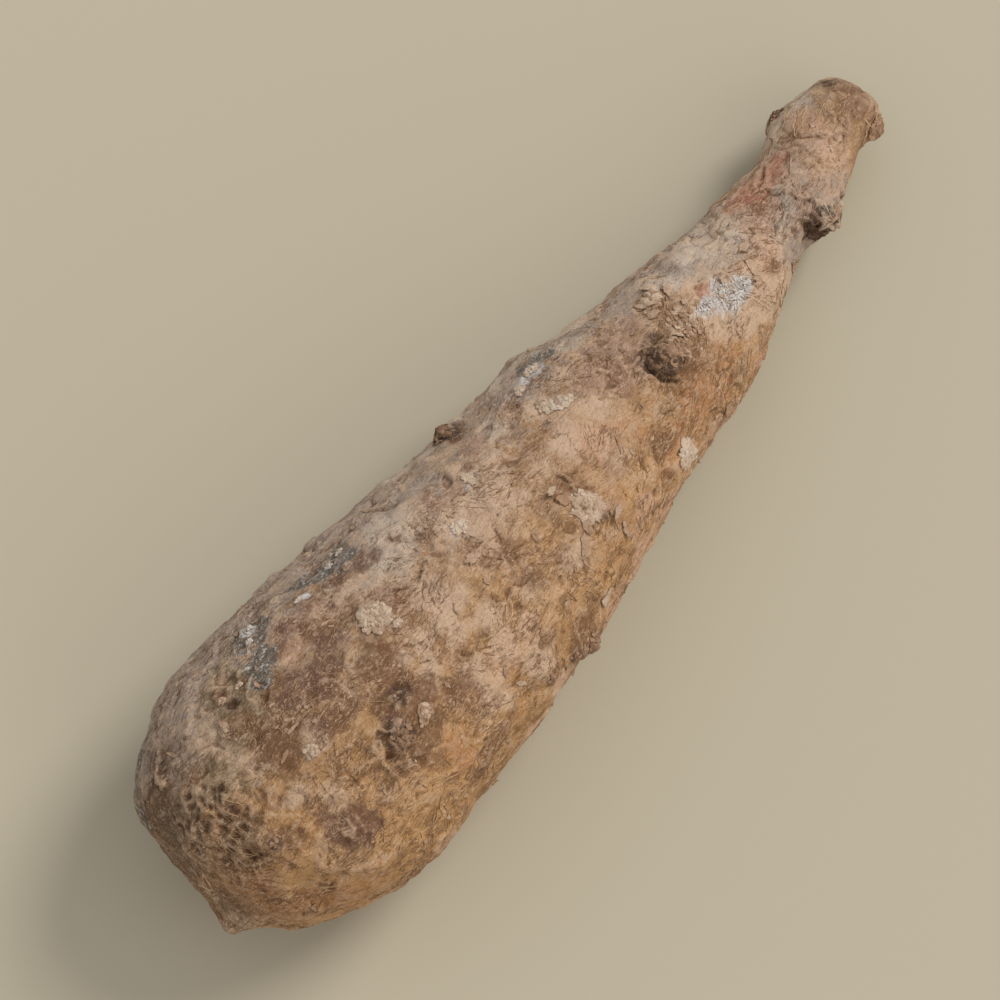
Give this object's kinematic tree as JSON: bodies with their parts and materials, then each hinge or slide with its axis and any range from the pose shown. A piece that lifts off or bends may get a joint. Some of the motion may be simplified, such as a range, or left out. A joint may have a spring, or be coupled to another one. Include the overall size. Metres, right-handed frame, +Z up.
{
  "type": "taro root",
  "caption": "Long club-shaped root crop as picked, with rough fibrous bark, a blunt fat end, a tail nub and a thin ringed neck; it lies on its side.",
  "frame": {"origin": "on the surface that the root rests on, below the middle of its length and width", "axes": "+X along the root from its fat end to its neck, +Y to its left, +Z up"},
  "size_m": [0.348, 0.098, 0.0909],
  "materials": {
    "bark": "dry, rough, fibrous tan-brown bark with dark knobs, cream crust and grey dusty patches"
  },
  "bodies": {
    "root": {"taro_root": "bark"}
  },
  "joints": []
}
